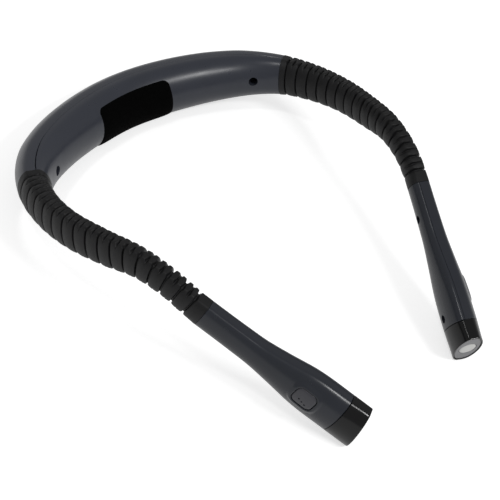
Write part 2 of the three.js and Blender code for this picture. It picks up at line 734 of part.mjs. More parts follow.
// Heads, built along x from the sleeve to the tip
const headRings = (from, to, inset) => evenStations(from, to, RING_SPACING).map((x) => headRing(x, inset));
const headBody = solid(skin(headRings(0, CAP_START, 0)));
const cavity = solid(skin(headRings(END_WALL, CAP_START + END_WALL, HEAD_WALL)));
const headShell = headBody.subtract(cavity);
const headHalf = (sign) =>
  solid(box(HEAD_LENGTH + FAR, FAR, FAR, [HEAD_LENGTH / 2, (sign * (GAP + FAR)) / 2 - PARTING_DEPTH, 0]));
const inHead = (geometry) => surface(solid(geometry).intersect(headBody));
const headScrewFrames = [HEAD_SCREW_REAR, HEAD_SCREW_FRONT].map((x) =>
  new THREE.Matrix4().makeTranslation(x, 0, 0),
);
const headCoreHole = alongRod(coreHole, FLAT_FRAME);
const rim = shift(
  block(
    BUTTON_LENGTH + 2 * (GAP + RIM_WIDTH),
    BUTTON_WIDTH + 2 * (GAP + RIM_WIDTH),
    BUTTON_CORNER + RIM_WIDTH,
    BUTTON_TOP - BUTTON_BOTTOM,
    RIM_TOP,
  ),
  BUTTON_STATION,
  0,
  BUTTON_RAISE,
);
const rimOutside = surface(solid(rim).subtract(cavity));
const buttonHole = shift(
  block(BUTTON_LENGTH + 2 * GAP, BUTTON_WIDTH + 2 * GAP, BUTTON_CORNER + GAP, 0, FAR),
  BUTTON_STATION,
  0,
  BUTTON_RAISE,
);
const outerShell = combine(
  headShell.intersect(headHalf(1)),
  [...headScrewFrames.map((frame) => inHead(screwPost(frame))), rimOutside],
  [...headScrewFrames.map(screwBore), headCoreHole, buttonHole],
);
const innerShell = combine(
  headShell.intersect(headHalf(-1)),
  headScrewFrames.map((frame) => inHead(screwBoss(frame))),
  [...headScrewFrames.map(screwHole), ...headScrewFrames.map(screwBore), headCoreHole],
);
const onHead = (geometry) => geometry.applyMatrix4(HEAD_FRAME);
addPair('outer_shell', onHead(surface(outerShell)), COLOURS.head, 0.4, 0);
addPair('inner_shell', onHead(surface(innerShell)), COLOURS.head, 0.4, 0);
addPair('rear_screw', onHead(screw().applyMatrix4(headScrewFrames[0])), COLOURS.steel, 0.35, 1);
addPair('front_screw', onHead(screw().applyMatrix4(headScrewFrames[1])), COLOURS.steel, 0.35, 1);

const anchorStations = [END_WALL + GAP, ANCHOR_IN_HEAD];
const headAnchor = skin(
  [
    ...anchorStations.map((x) => headRing(x, HEAD_WALL + GAP)),
    ...anchorStations.map((x) => ring(FLAT_FRAME, boreOutline(SECTION_STEPS), x)).reverse(),
  ],
  true,
);
addPair('head_anchor', onHead(headAnchor), COLOURS.cap, 0.6, 0);

// Tip: cap with a spigot in the shells, lens plate, window and the parts behind them
const spigotOut = HEAD_WALL + GAP;
const spigotIn = spigotOut + SPIGOT_WALL;
const tipCap = skin(
  [
    headRing(CAP_START + GAP, 0),
    faceRing(HEAD_LENGTH - CAP_CHAMFER, 0),
    faceRing(HEAD_LENGTH, CAP_CHAMFER),
    faceRing(HEAD_LENGTH, CAP_WALL),
    faceRing(HEAD_LENGTH - LENS_SEAT, CAP_WALL),
    faceRing(HEAD_LENGTH - LENS_SEAT, spigotIn),
    headRing(CAP_START - SPIGOT_LENGTH, spigotIn),
    headRing(CAP_START - SPIGOT_LENGTH, spigotOut),
    headRing(CAP_START + GAP, spigotOut),
  ],
  true,
);
const restedCap = solid(onHead(tipCap)).subtract(solid(ground()));
addPair('tip_cap', surface(restedCap), COLOURS.cap, 0.25, 0);

const sectionCount = 2 * SECTION_STEPS + 2;
const lensBack = HEAD_LENGTH - LENS_SEAT + GAP;
const lensFront = HEAD_LENGTH - LENS_RECESS;
const windowOutline = (extra) => oval(WINDOW_HALF_WIDTH + extra, WINDOW_HALF_HEIGHT + extra, sectionCount);
const lensPlate = skin(
  [
    faceRing(lensBack, CAP_WALL + GAP),
    faceRing(lensFront, CAP_WALL + GAP),
    ring(FACE_FRAME, windowOutline(GAP), lensFront),
    ring(FACE_FRAME, windowOutline(GAP), lensBack),
  ],
  true,
);
addPair('lens_plate', onHead(lensPlate), COLOURS.lens, 0.3, 0);
const ledWindow = skin([
  ring(FACE_FRAME, windowOutline(0), lensBack),
  ring(FACE_FRAME, windowOutline(0), lensFront),
  ring(FACE_FRAME, windowOutline(-WINDOW_DOME), lensFront + WINDOW_DOME),
]);
addPair('led_window', onHead(ledWindow), COLOURS.window, 0.35, 0);

const ledBack = HEAD_LENGTH - LED_BOARD_SETBACK;
const ledFront = ledBack + LED_BOARD_THICKNESS;
const plateInset = spigotIn + GAP;
const ledChip = box(2 * LED_HEIGHT, LED_SIZE, LED_SIZE, [ledFront, 0, 0]);
const ledPlate = solid(skin([headRing(ledBack, plateInset), headRing(ledFront, plateInset)]));
const ledBoard = combine(ledPlate, [ledChip], []);
addPair('led_board', onHead(surface(ledBoard)), COLOURS.lens, 0.5, 0);
const spreaderFront = ledBack - GAP;
const spreaderBack = spreaderFront - SPREADER_THICKNESS;
const boardMiddle = SWITCH_BOARD_INNER + SWITCH_BOARD_THICKNESS / 2;
const tongueSlot = box(
  HEAD_LENGTH,
  SWITCH_BOARD_THICKNESS + 2 * GAP,
  2 * (TONGUE_HALF_WIDTH + GAP),
  [HEAD_LENGTH, boardMiddle, 0],
);
const spreader = combine(
  solid(skin([headRing(spreaderBack, plateInset), headRing(spreaderFront, plateInset)])),
  [],
  [tongueSlot],
);
addPair('heat_spreader', onHead(surface(spreader)), COLOURS.copper, 0.3, 1);

function switchBoard() {
  const bar = (from, to, halfWidth) =>
    box(to - from, SWITCH_BOARD_THICKNESS, 2 * halfWidth, [(from + to) / 2, boardMiddle, 0]);
  const outer = SWITCH_BOARD_INNER + SWITCH_BOARD_THICKNESS;
  const key = box(SWITCH_SIZE, 2 * SWITCH_HEIGHT, SWITCH_SIZE, [BUTTON_STATION, outer, BUTTON_RAISE]);
  return combine(
    solid(bar(SWITCH_BOARD_START, SWITCH_BOARD_STEP, SWITCH_BOARD_NARROW)),
    [
      bar(SWITCH_BOARD_STEP - GAP, spreaderBack - GAP, SWITCH_BOARD_WIDE),
      bar(spreaderBack - 2 * GAP, spreaderFront, TONGUE_HALF_WIDTH),
      key,
    ],
    [rod(POST_RADIUS + GAP, 0, FAR, headScrewFrames[1])],
  );
}
addPair('switch_board', onHead(surface(switchBoard())), COLOURS.board, 0.6, 0);

function button() {
  const slant = THREE.MathUtils.degToRad(DOT_ROW_SLANT_DEG);
  const dots = [-1, 0, 1].map((i) => {
    const dot = rod(DOT_RADIUS, BUTTON_TOP - DOT_HEIGHT, BUTTON_TOP + DOT_HEIGHT);
    const along = i * DOT_SPACING;
    return shift(dot, along * Math.cos(slant), 0, -DOT_ROW_DROP - along * Math.sin(slant));
  });
  const flange = block(
    BUTTON_LENGTH + FLANGE_EXTRA,
    BUTTON_WIDTH + FLANGE_EXTRA,
    BUTTON_CORNER,
    BUTTON_BOTTOM,
    BUTTON_BOTTOM + FLANGE_THICKNESS,
  );
  const key = block(BUTTON_LENGTH, BUTTON_WIDTH, BUTTON_CORNER, BUTTON_BOTTOM, BUTTON_TOP, BUTTON_BEVEL);
  return shift(surface(combine(solid(key), [flange, ...dots], [])), BUTTON_STATION, 0, BUTTON_RAISE);
}
addPair('button', onHead(button()), COLOURS.button, 0.5, 0);

// Stand the part on its back edge and its two tips, with the origin under the middle
part.rotation.x = REST_TILT;
part.position.z = -REST_HEIGHT;
part.updateMatrixWorld(true);
const bounds = new THREE.Box3().setFromObject(part, true);
part.position.y = -(bounds.min.y + bounds.max.y) / 2;
part.updateMatrixWorld(true);

export default part;
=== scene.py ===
import json
import math

import bmesh
import bpy
import numpy as np
from mathutils import Matrix, Vector


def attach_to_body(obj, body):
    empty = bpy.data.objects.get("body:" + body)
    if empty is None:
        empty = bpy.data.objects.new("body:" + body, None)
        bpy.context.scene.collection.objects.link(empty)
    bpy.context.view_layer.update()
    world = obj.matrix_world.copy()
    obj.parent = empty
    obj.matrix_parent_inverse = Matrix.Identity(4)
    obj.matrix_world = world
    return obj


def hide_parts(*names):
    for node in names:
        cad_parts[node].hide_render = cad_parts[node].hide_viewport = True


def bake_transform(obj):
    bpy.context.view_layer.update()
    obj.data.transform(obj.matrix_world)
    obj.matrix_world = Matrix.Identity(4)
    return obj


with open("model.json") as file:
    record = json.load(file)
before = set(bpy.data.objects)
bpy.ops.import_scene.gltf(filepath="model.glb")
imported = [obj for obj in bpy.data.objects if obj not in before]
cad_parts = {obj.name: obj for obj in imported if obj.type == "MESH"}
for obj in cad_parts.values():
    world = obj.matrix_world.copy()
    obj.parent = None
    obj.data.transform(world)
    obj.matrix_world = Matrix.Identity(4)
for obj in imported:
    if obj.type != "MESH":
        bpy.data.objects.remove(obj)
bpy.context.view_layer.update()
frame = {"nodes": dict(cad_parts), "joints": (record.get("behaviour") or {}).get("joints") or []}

# Lengths are in millimetres. What placed() gives and the sizes of the materials, the floor and the
# lamps are in metres.
SIDES = ((1, "right"), (-1, "left"))
# Millimetres in a metre
MM = 1000

# Sizes that repeat those of the part
# Route of the right half: x, y, z, half width, half height
ROUTE = np.array([
    [0, 73.9, 0, 13.3, 13.9],
    [34.3, 68.1, 0, 13.1, 13.6],
    [54.4, 60.1, 0, 12.2, 12.8],
    [65.4, 53.4, 0, 11.2, 12.1],
    [72.6, 46.9, 0, 9.9, 11.4],
    [80.6, 36.1, 0, 8, 10.5],
    [85.8, 20.5, 0, 6.7, 9.8],
    [87.6, 0, 0, 5.7, 9],
    [84.7, -21.2, 0, 5.1, 8.4],
    [80, -41.4, -0.6, 5.1, 7.2],
    [76.3, -54.3, -5.2, 5.2, 6.6],
    [70.1, -69.7, -16.1, 5.2, 6.4],
])
BAND_END_ROW = 5
TIP = np.array([37.4, -132.4, -62.0])
REST_BACK, REST_FRONT = (76.8, -13.6), (-126.4, -71.9)
OUTER_RIDGE, INNER_RIDGE_SHARE = 3.0, 0.36
RIDGE_SHRINK = 0.33
RIDGE_ANGLE = math.radians(72)
PARTING = -1.5
GAP = 0.3
BAND_WALL, HEAD_WALL = 2.0, 1.4
GROOVES, HINGE_GROOVES, CUT_GROOVES = 16, (2, 6, 10, 14), (4, 8, 12)
FIRST_COLLAR, LAST_COLLAR = 4.1, 6.8
CORE_RADIUS, CORE_BORE = 2.4, 1.0
CORE_IN_BAND, CORE_IN_HEAD = 9, 8.5
CAP_LENGTH, SPIGOT_LENGTH = 11.6, 1.8
FACE_SLANT = math.tan(math.radians(8))
BAND_SCREW_SETBACK = 16
REAR_SCREW_X, FRONT_SCREW_CLEAR = 17, 0.4
BOSS_RADIUS, HOLE_RADIUS = 2.5, 1.95
BUTTON_X, BUTTON_Q = 56.0, 0.9
BUTTON_LENGTH, BUTTON_WIDTH, BUTTON_CORNER = 10.2, 8.7, 2.6

HEAD_ORIGIN = ROUTE[-1, :3]
HEAD_LENGTH = float(np.linalg.norm(TIP - HEAD_ORIGIN))
HEAD_AXIS = (TIP - HEAD_ORIGIN) / HEAD_LENGTH
CAP_START = HEAD_LENGTH - CAP_LENGTH
HEAD_SCREWS = (REAR_SCREW_X, CAP_START - SPIGOT_LENGTH - FRONT_SCREW_CLEAR - BOSS_RADIUS)
KNOTS = np.concatenate([[0], np.cumsum(np.linalg.norm(np.diff(ROUTE[:, :3], axis=0), axis=1))])
BAND_END, HEAD_START = float(KNOTS[BAND_END_ROW]), float(KNOTS[-1])
PITCH = (HEAD_START - BAND_END - FIRST_COLLAR - LAST_COLLAR) / (GROOVES - 1)

# Sizes of the scene's own pieces
# Head by length from its rear end: length, half width, half height, outer ridge
HEAD_SIZES = np.array([
    [0, 5.2, 6.4, OUTER_RIDGE],
    [20, 5.4, 6.5, OUTER_RIDGE],
    [28, 5.6, 6.7, OUTER_RIDGE],
    [40, 6.3, 8.3, 2.8],
    [54, 7.2, 10.7, 2.3],
    [CAP_START, 7.4, 11.2, 2.0],
    [HEAD_LENGTH, 6.9, 11.5, 2.0],
])
BAND_BOSS_RADIUS, BAND_HOLE_RADIUS = 3.1, 2.45
# Between a sleeve and a shell, so small that no light passes
JOIN_GAP = 0.02
# In metres, how far the lowest points stay above the floor
FLOOR_CLEAR = 0.00002
# Angles in degrees above which an edge between two faces stays sharp
SHARP, SOFT_SHARP, PAD_SHARP = 32, 40, 50


# Route and heads
def ease(a, b, x):
    """From 0 at a to 1 at b."""
    t = np.clip((x - a) / (b - a), 0, 1)
    return t * t * (3 - 2 * t)


def even(a, b, step):
    return np.linspace(a, b, max(2, int(round((b - a) / step)) + 1))


def groove_at(i):
    return BAND_END + FIRST_COLLAR + i * PITCH


def smooth(rows, knots, start, end, s):
    """Row of smooth values at s, as the part computes them."""
    i = int(np.clip(np.searchsorted(knots, s) - 1, 0, len(knots) - 2))
    step = knots[i + 1] - knots[i]
    t = (s - knots[i]) / step

    def slope(r):
        if r == 0:
            return np.asarray(start, float)
        if r == len(rows) - 1:
            return np.asarray(end, float)
        before, after = knots[r] - knots[r - 1], knots[r + 1] - knots[r]
        rise, nxt = (rows[r] - rows[r - 1]) / before, (rows[r + 1] - rows[r]) / after
        return (rise * after + nxt * before) / (before + after)

    t2, t3 = t * t, t * t * t
    value = rows[i] * (2 * t3 - 3 * t2 + 1) + slope(i) * step * (t3 - 2 * t2 + t)
    return value + rows[i + 1] * (3 * t2 - 2 * t3) + slope(i + 1) * step * (t3 - t2)


def route_row(s):
    return smooth(ROUTE, KNOTS, [1, 0, 0, 0, 0], [*HEAD_AXIS, 0, 0], abs(s))


def sizes_at(s):
    """Half width, half height and outer ridge of the band and the arms."""
    return np.append(route_row(s)[3:], OUTER_RIDGE)


def head_sizes(x):
    return smooth(HEAD_SIZES[:, 1:], HEAD_SIZES[:, 0], [0, 0, 0], [0, 0, 0], x)


def centre_at(s):
    if s > HEAD_START:
        return HEAD_ORIGIN + HEAD_AXIS * (s - HEAD_START)
    row = route_row(s)
    return np.array([math.copysign(1, s) * row[0] if s else 0.0, row[1], row[2]])


def axes_from(along):
    up = np.array([0, 0, 1.0])
    up = up - along * (up @ along)
    up /= np.linalg.norm(up)
    return np.stack([along, np.cross(up, along), up], 1)


SLOPE_STEP = 0.3


def frame_at(s):
    """Axes of the route at s (along, outward, up) and its centre."""
    along = centre_at(s + SLOPE_STEP) - centre_at(s - SLOPE_STEP)
    return axes_from(along / np.linalg.norm(along)), centre_at(s)


HEAD_AXES = axes_from(HEAD_AXIS)
TILT = -math.atan2(REST_BACK[1] - REST_FRONT[1], REST_BACK[0] - REST_FRONT[0])
COS, SIN = math.cos(TILT), math.sin(TILT)
TURN = np.array([[1, 0, 0], [0, COS, -SIN], [0, SIN, COS]])
FIRST_JOINT = next(j for j in frame["joints"] if j["name"] == "right_arm_swing_1")
SHIFT = np.array(FIRST_JOINT["pos_m"]) - TURN @ centre_at(groove_at(HINGE_GROOVES[0])) / MM


def placed(points, side=1):
    """Millimetres along the route's own axes to metres in the frame, mirrored for the left side."""
    p = np.asarray(points, float) * np.array([side, 1, 1])
    return p @ TURN.T / MM + SHIFT


def rested(points):
    """The same points with nothing below the floor."""
    return np.column_stack([points[:, :2], np.maximum(points[:, 2], FLOOR_CLEAR)])


def beside_route(s, p, q):
    """Point that lies p outward and q up from the route."""
    axes, centre = frame_at(s)
    return centre + axes[:, 1] * p + axes[:, 2] * q


def on_route(s, outline):
    axes, centre = frame_at(s)
    return centre + np.outer(outline[:, 0], axes[:, 1]) + np.outer(outline[:, 1], axes[:, 2])


def on_head(points):
    """Head points (along, outward, up) to the route's own axes."""
    return HEAD_ORIGIN + np.asarray(points, float) @ HEAD_AXES.T


def head_ring(x, outline):
    return on_head(np.column_stack([np.full(len(outline), x), outline]))


def face_ring(x, outline):
    """Ring along the leaning lamp face, its lower edge farther forward."""
    return on_head(np.column_stack([x - FACE_SLANT * outline[:, 1], outline]))


# Cross section
ARC_POINTS, SIDE_POINTS, FLAT_POINTS, RIDGED_POINTS = 41, 22, 6, 8
OUTLINE_STEP = 0.12
LARGEST_EDGE_SHARE = 0.4
SIDE_SHARES = 0.5 - 0.5 * np.cos(np.linspace(0, math.pi, SIDE_POINTS + 1))
FLAT_SHARES = np.linspace(0, 1, FLAT_POINTS + 1)
RIDGED_SHARES = 0.5 - 0.5 * np.cos(np.linspace(0, math.pi, RIDGED_POINTS + 1))


def ridges(sizes, inset):
    """How far the outer and the inner ridge lie from the middle."""
    shrink = RIDGE_SHRINK * inset
    return sizes[2] - shrink, INNER_RIDGE_SHARE * sizes[0] - shrink


def bulge(angle):
    """Share of a side's bulge at an angle from the middle of the side."""
    return (np.cos(angle) - math.cos(RIDGE_ANGLE)) / (1 - math.cos(RIDGE_ANGLE))


class Section:
    """Outline of the body at one station: soft ridges, sampled by the length round it."""

    def __init__(self, sizes, inset, soft):
        a, b = sizes[0] - inset, sizes[1] - inset
        out, inn = self.ridges = ridges(sizes, inset)
        angle = np.linspace(RIDGE_ANGLE, -RIDGE_ANGLE, ARC_POINTS)
        reach, rise = bulge(angle), np.sin(angle) / math.sin(RIDGE_ANGLE) * b
        outer = np.stack([out + (a - out) * reach, rise], 1)
        inner = np.stack([-(inn + (a - inn) * reach), -rise], 1)
        closed = np.concatenate([outer, inner, outer[:1]])
        length = np.linalg.norm(np.diff(closed, axis=0), axis=1)
        length = np.concatenate([[0], np.cumsum(length)])
        # Outer side from top to bottom, underside, inner side from bottom to top, top side
        n = ARC_POINTS
        self.corners = [length[i] for i in (0, n - 1, n, 2 * n - 1, 2 * n)]
        self.total = length[-1]
        count = int(self.total / OUTLINE_STEP)
        s = np.arange(count) * self.total / count
        outline = np.stack([np.interp(s, length, closed[:, k]) for k in (0, 1)], 1)
        frequency = np.fft.fftfreq(count, self.total / count)
        keep = np.exp(-2 * (math.pi * soft * frequency) ** 2)
        outline = np.real(np.fft.ifft(np.fft.fft(outline, axis=0) * keep[:, None], axis=0))
        self.lengths = np.append(s, self.total)
        self.outline = np.concatenate([outline, outline[:1]])

    def at(self, s):
        s = np.mod(s, self.total)
        return np.stack([np.interp(s, self.lengths, self.outline[:, k]) for k in (0, 1)], 1)

    def stations(self):
        shares = (SIDE_SHARES, RIDGED_SHARES, SIDE_SHARES, RIDGED_SHARES)
        pairs = zip(self.corners, self.corners[1:], shares)
        return np.concatenate([a + (b - a) * share[:-1] for a, b, share in pairs])

    def ring(self):
        return self.at(self.stations())

    def half(self, sign, edge, gap):
        """Points of the outer (1) or inner (-1) half from one of its edges round to the other."""
        c = self.corners
        out, inn = self.ridges
        cut = (c[2] - c[1]) * (out - PARTING - sign * gap / 2) / (out + inn)
        flat = FLAT_SHARES[1:-1]
        if sign > 0:
            start, end, a, b = -cut + edge, c[1] + cut - edge, c[0], c[1]
        else:
            edge = min(edge, LARGEST_EDGE_SHARE * (c[2] - c[1] - cut))
            start, end, a, b = c[1] + cut + edge, c[4] - cut - edge, c[2], c[3]
        side = a + (b - a) * SIDE_SHARES
        s = np.concatenate([[start], start + (a - start) * flat, side, b + (end - b) * flat, [end]])
        return self.at(s)


# Meshes
def new_piece(name, points, faces, mat, angle=SHARP):
    mesh = bpy.data.meshes.new(name)
    mesh.from_pydata([tuple(p) for p in points], [], [tuple(int(i) for i in f) for f in faces])
    bm = bmesh.new()
    bm.from_mesh(mesh)
    bmesh.ops.recalc_face_normals(bm, faces=bm.faces)
    if bm.calc_volume(signed=True) < 0:
        bmesh.ops.reverse_faces(bm, faces=bm.faces)
    bm.to_mesh(mesh)
    bm.free()
    mesh.materials.append(mat)
    piece = bpy.data.objects.new(name, mesh)
    bpy.context.scene.collection.objects.link(piece)
    soften(piece, angle)
    return piece


def soften(piece, angle):
    piece.data.shade_smooth()
    piece.data.set_sharp_from_angle(angle=math.radians(angle))


def attach(piece, body, node):
    """The piece rides on a body and stands in for a node, whose own part is hidden."""
    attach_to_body(piece, body)
    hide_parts(node)


def faces_on(side, faces):
    """The faces, turned over for the left side, where the points are mirrored."""
    return faces if side > 0 else [tuple(reversed(f)) for f in faces]


def loft(rings, looped=False):
    """Points and faces of rings joined in turn; open lofts are capped with a fan."""
    n = len(rings[0])
    points = np.concatenate(rings)
    faces = []
    for r in range(len(rings) if looped else len(rings) - 1):
        q = (r + 1) % len(rings)
        faces += [(r * n + i, r * n + (i + 1) % n, q * n + (i + 1) % n, q * n + i) for i in range(n)]
    if not looped:
        for r in (0, len(rings) - 1):
            points = np.concatenate([points, rings[r].mean(0)[None]])
            faces += [(r * n + i, r * n + (i + 1) % n, len(points) - 1) for i in range(n)]
    return points, faces


def slab(top, bottom):
    """Points and faces of a sheet between two grids."""
    rows, cols = top.shape[:2]
    points = np.concatenate([top.reshape(-1, 3), bottom.reshape(-1, 3)])
    faces = []
    for base in (0, rows * cols):
        for r in range(rows - 1):
            low, high = base + r * cols, base + (r + 1) * cols
            faces += [(low + c, low + c + 1, high + c + 1, high + c) for c in range(cols - 1)]
    rim = [(0, c) for c in range(cols)] + [(r, cols - 1) for r in range(1, rows)]
    rim += [(rows - 1, c) for c in range(cols - 2, -1, -1)] + [(r, 0) for r in range(rows - 2, 0, -1)]
    index = [r * cols + c for r, c in rim]
    for a, b in zip(index, index[1:] + index[:1]):
        faces.append((a, b, b + rows * cols, a + rows * cols))
    return points, faces


def carve(piece, tools, angle=SHARP):
    """Adds ('UNION') or cuts ('DIFFERENCE') each tool object, which is then removed."""
    for tool, operation in tools:
        mod = piece.modifiers.new("tool", "BOOLEAN")
        mod.object = tool
        mod.operation = operation
        mod.solver = "EXACT"
    graph = bpy.context.evaluated_depsgraph_get()
    mesh = bpy.data.meshes.new_from_object(piece.evaluated_get(graph))
    old = piece.data
    piece.modifiers.clear()
    piece.data = mesh
    mesh.name = old.name
    bpy.data.meshes.remove(old)
    for tool, _ in tools:
        data = tool.data
        bpy.data.objects.remove(tool)
        bpy.data.meshes.remove(data)
    soften(piece, angle)


def rod_tool(name, radius, start, end, sides=40):
    """Round rod between two points in the frame, for carve()."""
    axis = Vector(end) - Vector(start)
    bm = bmesh.new()
    bmesh.ops.create_cone(
        bm, cap_ends=True, segments=sides, radius1=radius / MM, radius2=radius / MM, depth=axis.length
    )
    turn = axis.to_track_quat("Z", "Y").to_matrix().to_4x4()
    bm.transform(Matrix.Translation((Vector(start) + Vector(end)) / 2) @ turn)
    mesh = bpy.data.meshes.new(name)
    bm.to_mesh(mesh)
    bm.free()
    mesh.materials.append(MAT["head"])
    tool = bpy.data.objects.new(name, mesh)
    bpy.context.scene.collection.objects.link(tool)
    return tool


BOSS_ROOT, HOLE_SEAT, HOLE_MOUTH = -1, -2.2, -20


def screw_tools(place, skin, boss_radius, hole_radius):
    """A boss inside the inner side and the screw hole into it; place gives the point at a depth."""
    boss = rod_tool("boss", boss_radius, place(BOSS_ROOT), place(skin))
    hole = rod_tool("hole", hole_radius, place(HOLE_SEAT), place(HOLE_MOUTH))
    return [(boss, "UNION"), (hole, "DIFFERENCE")]


def oval(half_width, half_height, count):
    t = np.linspace(0, 2 * math.pi, count, endpoint=False)
    return np.stack([half_width * np.cos(t), half_height * np.sin(t)], 1)


def matching_oval(template, half_width, half_height):
    """Oval with a point for each point of the template, in about the same direction."""
    angle = np.arctan2(template[:, 1] / half_height, template[:, 0] / half_width)
    return np.stack([half_width * np.cos(angle), half_height * np.sin(angle)], 1)


# Materials: each has its own mottling, changes of gloss and grain
CLOUD_DETAIL, WEAR_DETAIL, GRAIN_DETAIL = 4, 3, 2
WEAR_SCALE = 2.3
MOTTLE_PLACES = (0.3, 0.7)
LEAST_ROUGHNESS = 0.02


def linear(value):
    """Linear value of a colour channel from 0 to 255."""
    c = value / 255
    return c / 12.92 if c <= 0.04045 else ((c + 0.055) / 1.055) ** 2.4


def material(name, colour, rough, metallic=0.0, mottle=0.08, mottle_scale=70.0, grain=9000.0, bump=0.12,
             spread=0.06, specular=0.5, depth=0.00006):
    mat = bpy.data.materials.new(name)
    mat.use_nodes = True
    nodes, links = mat.node_tree.nodes, mat.node_tree.links
    shader = nodes["Principled BSDF"]
    shader.inputs["Metallic"].default_value = metallic
    shader.inputs["Specular IOR Level"].default_value = specular
    coords = nodes.new("ShaderNodeTexCoord")

    def noise(scale, detail):
        node = nodes.new("ShaderNodeTexNoise")
        node.inputs["Scale"].default_value = scale
        node.inputs["Detail"].default_value = detail
        links.new(coords.outputs["Object"], node.inputs["Vector"])
        return node.outputs["Fac"]

    ramp = nodes.new("ShaderNodeValToRGB")
    for element, factor, place in zip(ramp.color_ramp.elements, (1 - mottle, 1 + mottle), MOTTLE_PLACES):
        element.position = place
        element.color = (*[min(1, linear(c) * factor) for c in colour], 1)
    links.new(noise(mottle_scale, CLOUD_DETAIL), ramp.inputs["Fac"])
    links.new(ramp.outputs["Color"], shader.inputs["Base Color"])
    gloss = nodes.new("ShaderNodeMapRange")
    gloss.inputs["To Min"].default_value = max(LEAST_ROUGHNESS, rough - spread)
    gloss.inputs["To Max"].default_value = rough + spread
    links.new(noise(mottle_scale * WEAR_SCALE, WEAR_DETAIL), gloss.inputs["Value"])
    links.new(gloss.outputs["Result"], shader.inputs["Roughness"])
    relief = nodes.new("ShaderNodeBump")
    relief.inputs["Strength"].default_value = bump
    relief.inputs["Distance"].default_value = depth
    links.new(noise(grain, GRAIN_DETAIL), relief.inputs["Height"])
    links.new(relief.outputs["Normal"], shader.inputs["Normal"])
    return mat


MAT = {
    "band": material("band plastic", (45, 48, 57), 0.3, mottle=0.05, bump=0.06, specular=0.42),
    "head": material("head plastic", (35, 38, 45), 0.25, mottle=0.05, bump=0.035, specular=0.36),
    "cap": material("cap plastic", (10, 10, 11), 0.16, mottle=0.05, bump=0.015, spread=0.03, specular=0.28),
    "button": material("button plastic", (50, 50, 56), 0.36, mottle=0.05, bump=0.2),
    "rubber": material(
        "sleeve rubber", (19, 19, 20), 0.5, mottle=0.2, mottle_scale=260, grain=3600, bump=0.45,
        specular=0.26, depth=0.0001,
    ),
    "pad": material(
        "pad foam", (4, 4, 4), 0.95, mottle=0.35, mottle_scale=900, grain=3800, bump=0.9, specular=0.03,
        depth=0.0002,
    ),
    "lens": material("lens plate", (142, 142, 144), 0.45, mottle=0.03, bump=0.05, specular=0.15),
    "window": material("led window", (220, 220, 217), 0.35, mottle=0.02, bump=0.1, specular=0.3),
    "steel": material("dark steel", (34, 34, 36), 0.4, metallic=0.9, mottle=0.2),
    "bright": material("bright steel", (150, 152, 156), 0.35, metallic=1.0, mottle=0.12),
    "board": material("solder mask", (24, 70, 46), 0.5, mottle=0.2, mottle_scale=600),
    "pale_board": material("pale board", (190, 190, 186), 0.5, mottle=0.06, mottle_scale=600),
    "cell": material("cell sleeve", (48, 92, 140), 0.45, mottle=0.1),
    "anchor": material("anchor plastic", (26, 26, 28), 0.6, mottle=0.15),
    "lead": material("lead sheath", (24, 24, 26), 0.5, mottle=0.15),
}

# Nodes that stay as they are, by the end of their names
NODE_MATERIALS = {
    "battery_cell": "cell",
    "charge_board": "board",
    "charge_socket": "bright",
    "band_screw": "steel",
    "rear_screw": "steel",
    "front_screw": "steel",
    "band_anchor": "anchor",
    "head_anchor": "anchor",
    "led_board": "pale_board",
    "heat_spreader": "bright",
    "switch_board": "board",
}
for node, obj in frame["nodes"].items():
    key = next((k for k in NODE_MATERIALS if node.endswith(k)), None)
    if key:
        obj.data.materials.clear()
        obj.data.materials.append(MAT[NODE_MATERIALS[key]])

# Band shells
EDGE = 0.22
END_MARGIN = 1.2
CORE_EDGE_SHARE = 0.2
BAND_SOFT, BAND_STEP, BAND_BOSS_SINK = 1.3, 1.6, 0.8
# The parting line of the band is fine along the middle and opens over these shares of its half length
FINE_SEAM, SEAM_OPENS = 0.25, (0.62, 0.86)


def shell_stations(start, end, inside):
    """Stations of a shell, each with its inset, which eases the two ends."""
    ends = [(start, EDGE), (start + EDGE, 0.0)], [(end - EDGE, 0.0), (end, EDGE)]
    return ends[0] + [(s, 0.0) for s in inside] + ends[1]


def shell_rows(stations, sizes, place, sign, wall, soft, seam):
    """Outer and inner grids of a half shell, its edges eased; seam is how open the parting line is."""
    top, bottom = [], []
    for s, inset in stations:
        gap, edge = GAP * seam(s), EDGE * seam(s)
        lip = Section(sizes(s), inset + edge, soft).half(sign, 0.0, gap)
        skin = Section(sizes(s), inset, soft).half(sign, edge, gap)
        core = Section(sizes(s), wall, soft).half(sign, 0.0, gap)
        core = np.concatenate([core[:1], core, core[-1:]])
        core[1] += (core[2] - core[1]) * CORE_EDGE_SHARE
        core[-2] += (core[-3] - core[-2]) * CORE_EDGE_SHARE
        top.append(place(s, np.concatenate([lip[:1], skin, lip[-1:]])))
        bottom.append(place(s, core))
    return np.array(top), np.array(bottom)


def band_seam(s):
    return FINE_SEAM + (1 - FINE_SEAM) * ease(SEAM_OPENS[0] * BAND_END, SEAM_OPENS[1] * BAND_END, abs(s))


band_inside = even(-BAND_END + END_MARGIN, BAND_END - END_MARGIN, BAND_STEP)
band_stations = shell_stations(-BAND_END, BAND_END, band_inside)
for name, node, sign in (("band_back_shell", "back_shell", 1), ("band_neck_shell", "neck_shell", -1)):
    grids = shell_rows(band_stations, sizes_at, on_route, sign, BAND_WALL, BAND_SOFT, band_seam)
    points, faces = slab(*grids)
    shell = new_piece(name, rested(placed(points)), faces, MAT["band"])
    if sign < 0:
        tools = []
        for side in (-1, 1):
            s = side * (BAND_END - BAND_SCREW_SETBACK)
            tools += screw_tools(
                lambda p: placed(beside_route(s, p, 0)), -sizes_at(s)[0] + BAND_BOSS_SINK,
                BAND_BOSS_RADIUS, BAND_HOLE_RADIUS,
            )
        carve(shell, tools)
    attach(shell, "band", node)

